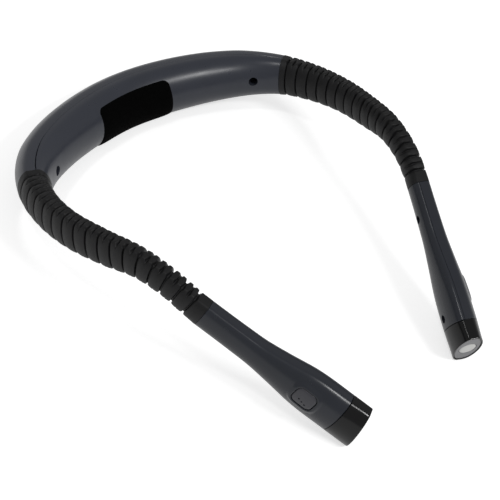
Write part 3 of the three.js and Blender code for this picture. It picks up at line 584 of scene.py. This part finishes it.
# Neck pad: crowned foam with round corners, its top edge shorter than its bottom edge
PAD_HALF_TOP, PAD_HALF_BOTTOM = 25.3, 27.0
PAD_LEAN_TOP, PAD_LEAN_BOTTOM = -1.8, -0.7
PAD_TOP_ANGLE, PAD_BOTTOM_ANGLE = math.radians(42.5), math.radians(67)
PAD_CORNER_LONG, PAD_CORNER_WIDE = 0.14, 0.3
PAD_EDGE, PAD_CROWN, PAD_CROWN_POWER, PAD_BACK = -0.3, 1.25, 7, -0.5
PAD_POINTS = 61


def rounded_square(u, v):
    """The square from -1 to 1 with its corners drawn in to quarter ovals."""
    du = max(0.0, abs(u) - 1 + PAD_CORNER_WIDE) / PAD_CORNER_WIDE
    dv = max(0.0, abs(v) - 1 + PAD_CORNER_LONG) / PAD_CORNER_LONG
    across = abs(u) - PAD_CORNER_WIDE * du * (1 - math.sqrt(1 - dv * dv / 2))
    along = abs(v) - PAD_CORNER_LONG * dv * (1 - math.sqrt(1 - du * du / 2))
    return math.copysign(across, u), math.copysign(along, v)


def pad_point(u, v, rise):
    across, along = rounded_square(u, v)
    low = (across + 1) / 2
    s = along * (PAD_HALF_TOP + (PAD_HALF_BOTTOM - PAD_HALF_TOP) * low)
    s += PAD_LEAN_TOP + (PAD_LEAN_BOTTOM - PAD_LEAN_TOP) * low
    angle = across * (PAD_TOP_ANGLE if across < 0 else PAD_BOTTOM_ANGLE)
    sizes = sizes_at(s)
    ridge = ridges(sizes, -rise)[1]
    p = -(ridge + (sizes[0] + rise - ridge) * bulge(angle))
    q = -math.sin(angle) / math.sin(RIDGE_ANGLE) * (sizes[1] + rise)
    return beside_route(s, p, q)


def pad_rise(u, v):
    crown = math.sqrt(1 - abs(u) ** PAD_CROWN_POWER) * math.sqrt(1 - abs(v) ** PAD_CROWN_POWER)
    return PAD_EDGE + PAD_CROWN * crown


steps = np.sin(np.linspace(-math.pi / 2, math.pi / 2, PAD_POINTS))
top = np.array([[pad_point(u, v, pad_rise(u, v)) for u in steps] for v in steps])
bottom = np.array([[pad_point(u, v, PAD_BACK) for u in steps] for v in steps])
points, faces = slab(top, bottom)
pad = new_piece("neck_pad_foam", placed(points), faces, MAT["pad"], PAD_SHARP)
attach(pad, "band", "neck_pad")

# Arms: sleeve, gooseneck and lead in four lengths, each of which spans one hinge
CUTS = [BAND_END, *[groove_at(i) for i in CUT_GROOVES], HEAD_START]
SLEEVE_SOFT, SLEEVE_CLEAR, NORMAL_STEP = 0.28, 0.35, 0.1
# Distances from a ridge between which its teeth fade out
TOOTH_REACH = (0.3, 2.2)
# Grooves: half width and depth, what the ridges add to them, and the flat share of their floor
GROOVE_WIDTH, GROOVE_TOP_WIDTH, GROOVE_LOW_WIDTH, GROOVE_LOW_GROWTH = 0.62, 0.5, 0.35, 0.4
GROOVE_DEPTH, GROOVE_TOP_DEPTH, GROOVE_FLAT = 1.35, 0.35, 0.3
RIB_ROUNDING, TOOTH_ROUNDING = 0.34, 0.5
# Notches halfway between the grooves, the same way, and their shares of the depth round the sleeve
NOTCH_WIDTH, NOTCH_TOP_WIDTH = 0.42, 0.58
NOTCH_DEPTH, NOTCH_TOP_DEPTH, NOTCH_FLAT = 1.2, 0.3, 0.15
NOTCH_ON_TOP, NOTCH_LOW, NOTCH_INSIDE = 0.9, 0.3, 0.8
NOTCH_SIDE_REACH, NOTCH_LOW_REACH, NOTCH_INNER_REACH = (0.7, 2.8), (0.6, 2.0), (3.2, 5.4)
# Shares of the arm's length between which the notches start to reach down the inner side
INNER_NOTCHES = (0.2, 0.55)
SLEEVE_STEPS = (0.0, 0.14, 0.24, 0.34, 0.44, 0.56, 0.72, 0.95, 1.2)
LEAST_STEP, BORE_STEP = 0.07, 3
TURN_STEP, TURN_DEPTH, CORE_SIDES = 0.55, 0.2, 16
LEAD_RADIUS, LEAD_SIDES, LEAD_STEP = 0.7, 10, 1.4
# Leads from the board in the band, which lies nearer to the right arm: station on the route, and how
# far outward and up from it
NEAR_LEAD = [
    (58.3, 4, 0), (BAND_END - 19.4, 0, 3.6), (BAND_END - 13.3, 0, 3.6), (BAND_END - 9.3, 0, 0),
    (HEAD_START + 8.8, 0, 0), (HEAD_START + 14.2, 0, 3.6), (HEAD_START + 19.8, 0, 3.6),
    (HEAD_START + 41.7, 2.2, 0),
]
FAR_LEAD = [(-33.7, 4, 0), (-22.7, 7.5, 0), (22.7, 7.5, 0)] + NEAR_LEAD[1:]


def outward(shape, stations):
    """Outward directions of a section at its stations."""
    normal = shape.at(stations + NORMAL_STEP) - shape.at(stations - NORMAL_STEP)
    normal = np.stack([-normal[:, 1], normal[:, 0]], 1)
    normal /= np.linalg.norm(normal, axis=1)[:, None]
    return -normal if (normal * shape.at(stations)).sum() < 0 else normal


def sleeve_ring(s):
    """Outline of the ribbed sleeve: thin grooves round it, which open into teeth along the ridges."""
    shape = Section(sizes_at(s), 0, SLEEVE_SOFT)
    stations = shape.stations()
    c = shape.corners
    from_top = np.minimum(np.minimum(stations - c[0], c[4] - stations), np.abs(stations - c[3]))
    from_low = np.minimum(np.abs(stations - c[1]), np.abs(stations - c[2]))
    top, low = 1 - ease(*TOOTH_REACH, from_top), 1 - ease(*TOOTH_REACH, from_low)
    along = (s - BAND_END) / (HEAD_START - BAND_END)
    inner = (stations > c[2]) & (stations < c[3])
    inner = np.where(inner, 1 - ease(*NOTCH_INNER_REACH, from_top), 0) * ease(*INNER_NOTCHES, along)
    top = np.maximum(top, inner)

    nearest = np.clip(round((s - groove_at(0)) / PITCH), 0, GROOVES - 1)
    x = abs(s - groove_at(nearest))
    between = groove_at(0) < s < groove_at(GROOVES - 1)
    low_width = GROOVE_LOW_WIDTH + GROOVE_LOW_GROWTH * along ** 2
    width = GROOVE_WIDTH + GROOVE_TOP_WIDTH * top + low_width * low
    depth = (GROOVE_DEPTH + GROOVE_TOP_DEPTH * top) * (1 - ease(width * GROOVE_FLAT, width, x))
    if between or x < PITCH / 2:
        depth = np.maximum(depth, RIB_ROUNDING * (1 - min(1, x / (PITCH / 2))) ** 2)
    if between:
        half = abs(((s - groove_at(0)) / PITCH) % 1 - 0.5) * PITCH
        mask = np.where(stations >= c[3], NOTCH_ON_TOP, 1 - ease(*NOTCH_SIDE_REACH, from_top))
        mask = np.maximum(mask, NOTCH_LOW * (1 - ease(*NOTCH_LOW_REACH, from_low)))
        mask = np.maximum(mask, NOTCH_INSIDE * inner)
        width = NOTCH_WIDTH + NOTCH_TOP_WIDTH * top
        notch = (NOTCH_DEPTH + NOTCH_TOP_DEPTH * top) * mask * (1 - ease(width * NOTCH_FLAT, width, half))
        depth = np.maximum(depth, notch)
        depth = np.maximum(depth, TOOTH_ROUNDING * top * (1 - min(1, min(x, half) / (PITCH / 4))) ** 2)
    return shape.at(stations) - outward(shape, stations) * depth[:, None]


def sleeve_stations(a, b):
    """Stations of a sleeve length, closer together at each groove and notch."""
    places = [groove_at(i / 2) for i in range(2 * GROOVES - 1)]
    rows = sorted([a, b] + [p + side * step for p in places for side in (-1, 1) for step in SLEEVE_STEPS])
    kept = [a]
    for s in rows:
        if s - kept[-1] > LEAST_STEP and s < b - LEAST_STEP:
            kept.append(s)
    return kept + [b]


def sleeve_mesh(a, b):
    bore = CORE_RADIUS + SLEEVE_CLEAR
    rings = [on_route(s, sleeve_ring(s)) for s in sleeve_stations(a, b)]
    rings += [on_route(s, matching_oval(sleeve_ring(s), bore, bore)) for s in even(a, b, BORE_STEP)[::-1]]
    return loft(rings, True)


def gooseneck_mesh(a, b):
    rings = []
    for i, s in enumerate(even(a, b, TURN_STEP)):
        radius = CORE_RADIUS - (0.0 if i % 2 else TURN_DEPTH)
        rings.append(on_route(s, oval(radius, radius, CORE_SIDES)))
    rings += [on_route(s, oval(CORE_BORE, CORE_BORE, CORE_SIDES)) for s in even(a, b, BORE_STEP)[::-1]]
    return loft(rings, True)


def lead_offset(rows, s):
    for (a, p0, q0), (b, p1, q1) in zip(rows, rows[1:]):
        if s <= b:
            t = ease(a, b, s)
            return p0 + (p1 - p0) * t, q0 + (q1 - q0) * t
    return rows[-1][1:]


def lead_mesh(rows, a, b):
    outline = oval(LEAD_RADIUS, LEAD_RADIUS, LEAD_SIDES)
    return loft([on_route(s, outline + lead_offset(rows, s)) for s in even(a, b, LEAD_STEP)])


for side, word in SIDES:
    rows = NEAR_LEAD if side > 0 else FAR_LEAD
    for k, (a, b) in enumerate(zip(CUTS, CUTS[1:])):
        first, last = a == CUTS[0], b == CUTS[-1]
        meshes = {
            "sleeve": sleeve_mesh(a + (JOIN_GAP if first else 0), b - (JOIN_GAP if last else 0)),
            "gooseneck": gooseneck_mesh(
                a - (CORE_IN_BAND if first else 0), b + (CORE_IN_HEAD if last else 0)
            ),
            "lead": lead_mesh(rows, rows[0][0] if first else a, rows[-1][0] if last else b),
        }
        for kind, mat in (("sleeve", "rubber"), ("gooseneck", "bright"), ("lead", "lead")):
            points, faces = meshes[kind]
            piece = new_piece(
                f"{word}_{kind}_length_{k + 1}", placed(points, side), faces_on(side, faces), MAT[mat],
                SOFT_SHARP,
            )
            placed(centre_at(a), side)
            placed(centre_at(b), side)
            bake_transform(piece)
            if kind == "lead":
                nodes = [f"{word}_lead"]
            else:
                nodes = [f"{word}_{kind}_{k + 1}"] + ([f"{word}_{kind}_5"] if last else [])
            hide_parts(*nodes)

# Heads
HEAD_SOFT, HEAD_STEP, HEAD_SEAM, HEAD_BOSS_SINK = 0.5, 1.3, 0.35, 0.6
CORNER_POINTS, RIM_STEP = 9, 0.6
# Rim round the button: distance from the opening's edge, and height over the head
LIP_PROFILE = [
    (-0.3, -1.0), (0.0, 0.3), (0.15, 0.44), (0.45, 0.55), (0.85, 0.55),
    (1.25, 0.42), (1.7, 0.18), (2.1, 0.02), (2.5, -0.12), (2.5, -1.0),
]
OPENING_SPAN = (3.0, 14.0)
# Button: scale, inset and height over the head of each ring
BUTTON_ROOT = 3.8
BUTTON_RINGS = [(1, 0, -0.05), (1, 0.07, 0.12), (1, 0.22, 0.24), (1, 0.45, 0.3)]
BUTTON_RINGS += [(scale, 0.45, 0.3 + 0.12 * (1 - scale)) for scale in (0.8, 0.6, 0.4, 0.2)]
DOT_RADIUS, DOT_DEPTH, DOT_MOUTH, DOT_SIDES = 0.42, 0.1, 4, 16
DOT_DROP, DOT_SPACING, DOT_ANGLE = 1.7, 1.9, math.radians(20)
CAP_SOFT, CAP_LOWER_SOFT = 0.3, 1.3
# Heights between which the cap's outline goes from sharp to round, and where this is complete
CAP_ROUNDS, CAP_ROUND_END = (2.0, -6.0), 2
# Where the cap's rings start to lean, and the length of the cap that this leaves out
CAP_LEAN_START, CAP_LEAN_REST = 0.5, 3
CAP_GAP, CAP_FIRST, CAP_LAST = 0.2, 1.5, 1.0
# Rings of the cap's front: distance from the tip, and inset
CAP_FRONT = [(-0.3, 0), (-0.1, 0.06), (0, 0.2), (0, 0.55), (-0.1, 0.7), (-2.3, 0.7), (-2.3, 2.7)]
SPIGOT_INNER, SPIGOT_OUTER = 2.7, 1.7
LENS_FRONT, LENS_BACK, LENS_INSET = 0.3, 2.0, 1.0
# Rings of the lens: distance behind its front, and inset
LENS_EDGE = [(0.2, 0.9), (0, 1.05)]
LENS_HOLE_EDGE, LENS_HOLE_DROP = 1.02, 0.15
WINDOW_HALF_WIDTH, WINDOW_HALF_HEIGHT, WINDOW_POINTS = 4.0, 4.4, 48
# Rings of the window: scale, and distance behind the tip
WINDOW_RINGS = ((1, 2.0), (1, 0.5), (0.985, 0.38), (0.95, 0.3), (0.7, 0.2), (0.4, 0.16))


def surface_height(x, q):
    """Outward height of the head's outer side at a point."""
    a, b, ridge = head_sizes(x)
    angle = math.asin(np.clip(q / b * math.sin(RIDGE_ANGLE), -1, 1))
    return ridge + (a - ridge) * bulge(angle)


def on_surface(outline, high):
    """Points over the head's outer side."""
    return [[x, surface_height(x, q) + high, q] for x, q in outline]


def round_rect(length, width, corner):
    """Closed outline with round corners: points and outward directions."""
    points, normals = [], []
    for k, (cx, cy) in enumerate(((1, -1), (1, 1), (-1, 1), (-1, -1))):
        middle = np.array([cx * (length / 2 - corner), cy * (width / 2 - corner)])
        for t in np.linspace(-math.pi / 2 + k * math.pi / 2, k * math.pi / 2, CORNER_POINTS):
            normals.append(np.array([math.cos(t), math.sin(t)]))
            points.append(middle + normals[-1] * corner)
    full_points, full_normals = [], []
    for p, q, n in zip(points, points[1:] + points[:1], normals):
        count = max(1, int(np.linalg.norm(q - p) / RIM_STEP))
        full_points += [p + (q - p) * i / count for i in range(count)]
        full_normals += [n] * count
    return np.array(full_points), np.array(full_normals)


BUTTON_PLACE = np.array([BUTTON_X, BUTTON_Q])
RIM_PATH, RIM_NORMAL = round_rect(BUTTON_LENGTH + 2 * GAP, BUTTON_WIDTH + 2 * GAP, BUTTON_CORNER + GAP)


def lip_mesh():
    rings = []
    for place, normal in zip(RIM_PATH + BUTTON_PLACE, RIM_NORMAL):
        rings.append(on_head([on_surface([place + normal * out], high)[0] for out, high in LIP_PROFILE]))
    return loft(rings, True)


def opening_mesh():
    return loft([on_head([[x, p, q] for x, q in RIM_PATH + BUTTON_PLACE]) for p in OPENING_SPAN])


def button_mesh():
    path, _ = round_rect(BUTTON_LENGTH, BUTTON_WIDTH, BUTTON_CORNER)
    size = np.array([BUTTON_LENGTH, BUTTON_WIDTH]) / 2
    rings = [on_head([[x, BUTTON_ROOT, q] for x, q in path + BUTTON_PLACE])]
    for scale, inset, high in BUTTON_RINGS:
        rings.append(on_head(on_surface(path * (1 - inset / size) * scale + BUTTON_PLACE, high)))
    return loft(rings)


def cap_outline(x, inset):
    """Outline of the cap, rounder along its lower ridges towards the tip."""
    sharp, rounder = (Section(head_sizes(x), inset, soft).ring() for soft in (CAP_SOFT, CAP_LOWER_SOFT))
    share = ease(*CAP_ROUNDS, sharp[:, 1:]) * ease(CAP_START, HEAD_LENGTH - CAP_ROUND_END, x)
    return sharp * (1 - share) + rounder * share


def cap_ring(x, inset):
    share = np.clip((x - CAP_START - CAP_LEAN_START) / (CAP_LENGTH - CAP_LEAN_REST), 0, 1)
    outline = cap_outline(x, inset)
    return head_ring(x, outline) * (1 - share) + face_ring(x, outline) * share


def cap_mesh():
    rear, spigot = CAP_START + CAP_GAP, CAP_START - SPIGOT_LENGTH
    profile = [(rear, EDGE), (rear + EDGE, 0)]
    profile += [(x, 0) for x in even(CAP_START + CAP_FIRST, HEAD_LENGTH - CAP_LAST, HEAD_STEP)]
    profile += [(HEAD_LENGTH + x, inset) for x, inset in CAP_FRONT]
    profile += [(spigot, SPIGOT_INNER), (spigot, SPIGOT_OUTER), (rear, SPIGOT_OUTER)]
    return loft([cap_ring(x, inset) for x, inset in profile], True)


def lens_mesh():
    front, back = HEAD_LENGTH - LENS_FRONT, HEAD_LENGTH - LENS_BACK
    hole = matching_oval(cap_outline(front, LENS_INSET), WINDOW_HALF_WIDTH + GAP, WINDOW_HALF_HEIGHT + GAP)
    rings = [face_ring(back, cap_outline(back, LENS_INSET))]
    rings += [face_ring(front - x, cap_outline(front, inset)) for x, inset in LENS_EDGE]
    rings += [face_ring(front, hole * LENS_HOLE_EDGE)]
    rings += [face_ring(front - LENS_HOLE_DROP, hole), face_ring(back, hole)]
    return loft(rings, True)


def window_mesh():
    outline = oval(WINDOW_HALF_WIDTH, WINDOW_HALF_HEIGHT, WINDOW_POINTS)
    return loft([face_ring(HEAD_LENGTH - depth, outline * scale) for scale, depth in WINDOW_RINGS])


def head_point(x, p, q, side):
    return placed(on_head([x, p, q]), side)


def head_piece(side, name, mesh, mat, angle=SHARP):
    points, faces = mesh
    word = dict(SIDES)[side]
    return new_piece(f"{word}_{name}", rested(placed(points, side)), faces_on(side, faces), MAT[mat], angle)


head_stations = shell_stations(JOIN_GAP, CAP_START, even(END_MARGIN, CAP_START - END_MARGIN, HEAD_STEP))
for side, word in SIDES:
    body = f"{word}_head"
    for kind, sign in (("outer_shell", 1), ("inner_shell", -1)):
        grids = shell_rows(
            head_stations, head_sizes, head_ring, sign, HEAD_WALL, HEAD_SOFT, lambda s: HEAD_SEAM
        )
        shell = head_piece(side, f"head_{kind}", slab(*grids), "head")
        if sign > 0:
            tools = [
                (head_piece(side, "lip", lip_mesh(), "head"), "UNION"),
                (head_piece(side, "opening", opening_mesh(), "head"), "DIFFERENCE"),
            ]
        else:
            tools = []
            for x in HEAD_SCREWS:
                tools += screw_tools(
                    lambda p: head_point(x, p, 0, side), -head_sizes(x)[0] + HEAD_BOSS_SINK,
                    BOSS_RADIUS, HOLE_RADIUS,
                )
        carve(shell, tools)
        attach(shell, body, f"{word}_{kind}")
    attach(head_piece(side, "tip_cap_ring", cap_mesh(), "cap"), body, f"{word}_tip_cap")
    attach(head_piece(side, "lens_plate_face", lens_mesh(), "lens"), body, f"{word}_lens_plate")
    window = head_piece(side, "led_window_disc", window_mesh(), "window", SOFT_SHARP)
    attach(window, body, f"{word}_led_window")
    key = head_piece(side, "button_key", button_mesh(), "button", SOFT_SHARP)
    pits = []
    for i in (-1, 0, 1):
        x = BUTTON_X + i * DOT_SPACING * math.cos(DOT_ANGLE)
        q = BUTTON_Q - DOT_DROP - i * DOT_SPACING * math.sin(DOT_ANGLE)
        high = surface_height(x, q)
        start, end = (head_point(x, p, q, side) for p in (high - DOT_DEPTH, high + DOT_MOUTH))
        pits.append((rod_tool("pit", DOT_RADIUS, start, end, DOT_SIDES), "DIFFERENCE"))
    carve(key, pits, SOFT_SHARP)
    attach(key, f"{word}_button", f"{word}_button")

# Floor, lamps and camera
FLOOR_COLOUR, FLOOR_HALF = (0.72, 0.72, 0.72, 1), 4
# What the floor adds for each kind of ray, and how this fades with the distance from the middle
FLOOR_GLOW = (("Is Camera Ray", 0.6), ("Is Glossy Ray", 0.35), ("Is Transmission Ray", 0.6))
FLOOR_FADE = (("From Min", 0.4), ("From Max", 1.4), ("To Min", 1.0), ("To Max", 0.25))
WORLD_STRENGTH = 0.45
# Lamps: direction from the object, size and power
LAMPS = (
    ("key", (0.12, -0.61, 0.78), (0.34, 0.12), 4.6),
    ("side", (-0.37, 0.05, 0.93), (0.12, 0.12), 1.8),
)
LAMP_AIM, LAMP_DISTANCE = Vector((0, 0, 0.03)), 1.2
# Camera, fitted to the photograph: place in millimetres and directions along the route's own axes
CAMERA_AT = np.array([-326.01, -370.0, 309.6])
CAMERA_RIGHT = np.array([0.7280569, -0.6855167, 0.0])
CAMERA_DOWN = np.array([-0.4089589, -0.4343371, -0.8025609])
CAMERA_AHEAD = np.array([0.5501689, 0.5843099, -0.5965702])
FOCAL_PIXELS, IMAGE_PIXELS, SENSOR_WIDTH = 1200, 500, 36
CLIP = (0.01, 20)


def floor_material():
    mat = bpy.data.materials.new("white floor")
    mat.use_nodes = True
    nodes, links = mat.node_tree.nodes, mat.node_tree.links
    nodes.clear()

    def combine(operation, first, second):
        """Result of a sum over two sockets, or over a socket and a number."""
        node = nodes.new("ShaderNodeMath")
        node.operation = operation
        links.new(first, node.inputs[0])
        if isinstance(second, float):
            node.inputs[1].default_value = second
        else:
            links.new(second, node.inputs[1])
        return node.outputs[0]

    rays = nodes.new("ShaderNodeLightPath")
    parts = [combine("MULTIPLY", rays.outputs[ray], strength) for ray, strength in FLOOR_GLOW]
    total = parts[0]
    for part in parts[1:]:
        total = combine("MAXIMUM", total, part)
    place = nodes.new("ShaderNodeNewGeometry")
    reach = nodes.new("ShaderNodeVectorMath")
    reach.operation = "LENGTH"
    links.new(place.outputs["Position"], reach.inputs[0])
    fade = nodes.new("ShaderNodeMapRange")
    fade.interpolation_type = "SMOOTHSTEP"
    for socket, value in FLOOR_FADE:
        fade.inputs[socket].default_value = value
    links.new(reach.outputs["Value"], fade.inputs["Value"])
    glow = nodes.new("ShaderNodeEmission")
    links.new(combine("MULTIPLY", total, fade.outputs["Result"]), glow.inputs["Strength"])
    diffuse = nodes.new("ShaderNodeBsdfDiffuse")
    diffuse.inputs["Color"].default_value = FLOOR_COLOUR
    whole = nodes.new("ShaderNodeAddShader")
    links.new(diffuse.outputs[0], whole.inputs[0])
    links.new(glow.outputs[0], whole.inputs[1])
    output = nodes.new("ShaderNodeOutputMaterial")
    links.new(whole.outputs[0], output.inputs["Surface"])
    return mat


def lamp(name, direction, size, power):
    """Area lamp that points at the object from a direction."""
    data = bpy.data.lights.new(name, "AREA")
    data.shape = "RECTANGLE"
    data.size, data.size_y = size
    data.energy = power
    towards = Vector(direction).normalized()
    obj = bpy.data.objects.new(name, data)
    obj.location = LAMP_AIM + towards * LAMP_DISTANCE
    obj.rotation_euler = towards.to_track_quat("Z", "Y").to_euler()
    bpy.context.scene.collection.objects.link(obj)


floor_mesh = bpy.data.meshes.new("floor")
corners = [(x * FLOOR_HALF, y * FLOOR_HALF, 0) for x, y in ((-1, -1), (1, -1), (1, 1), (-1, 1))]
floor_mesh.from_pydata(corners, [], [(0, 1, 2, 3)])
floor_mesh.materials.append(floor_material())
floor = bpy.data.objects.new("floor", floor_mesh)
bpy.context.scene.collection.objects.link(floor)

world = bpy.data.worlds.new("studio")
bpy.context.scene.world = world
world.use_nodes = True
sky = world.node_tree.nodes["Background"]
sky.inputs["Strength"].default_value = WORLD_STRENGTH
sky.inputs["Color"].default_value = (1, 1, 1, 1)
for row in LAMPS:
    lamp(*row)

camera_data = bpy.data.cameras.new("camera")
camera_data.lens = FOCAL_PIXELS * SENSOR_WIDTH / IMAGE_PIXELS
camera_data.sensor_width = SENSOR_WIDTH
camera_data.clip_start, camera_data.clip_end = CLIP
camera = bpy.data.objects.new("camera", camera_data)
basis = np.stack([TURN @ CAMERA_RIGHT, -(TURN @ CAMERA_DOWN), -(TURN @ CAMERA_AHEAD)], 1)
matrix = Matrix(basis.tolist()).to_4x4()
matrix.translation = Vector(placed(CAMERA_AT))
camera.matrix_world = matrix
bpy.context.scene.collection.objects.link(camera)
bpy.context.scene.camera = camera
bpy.context.scene.view_settings.view_transform = "Standard"
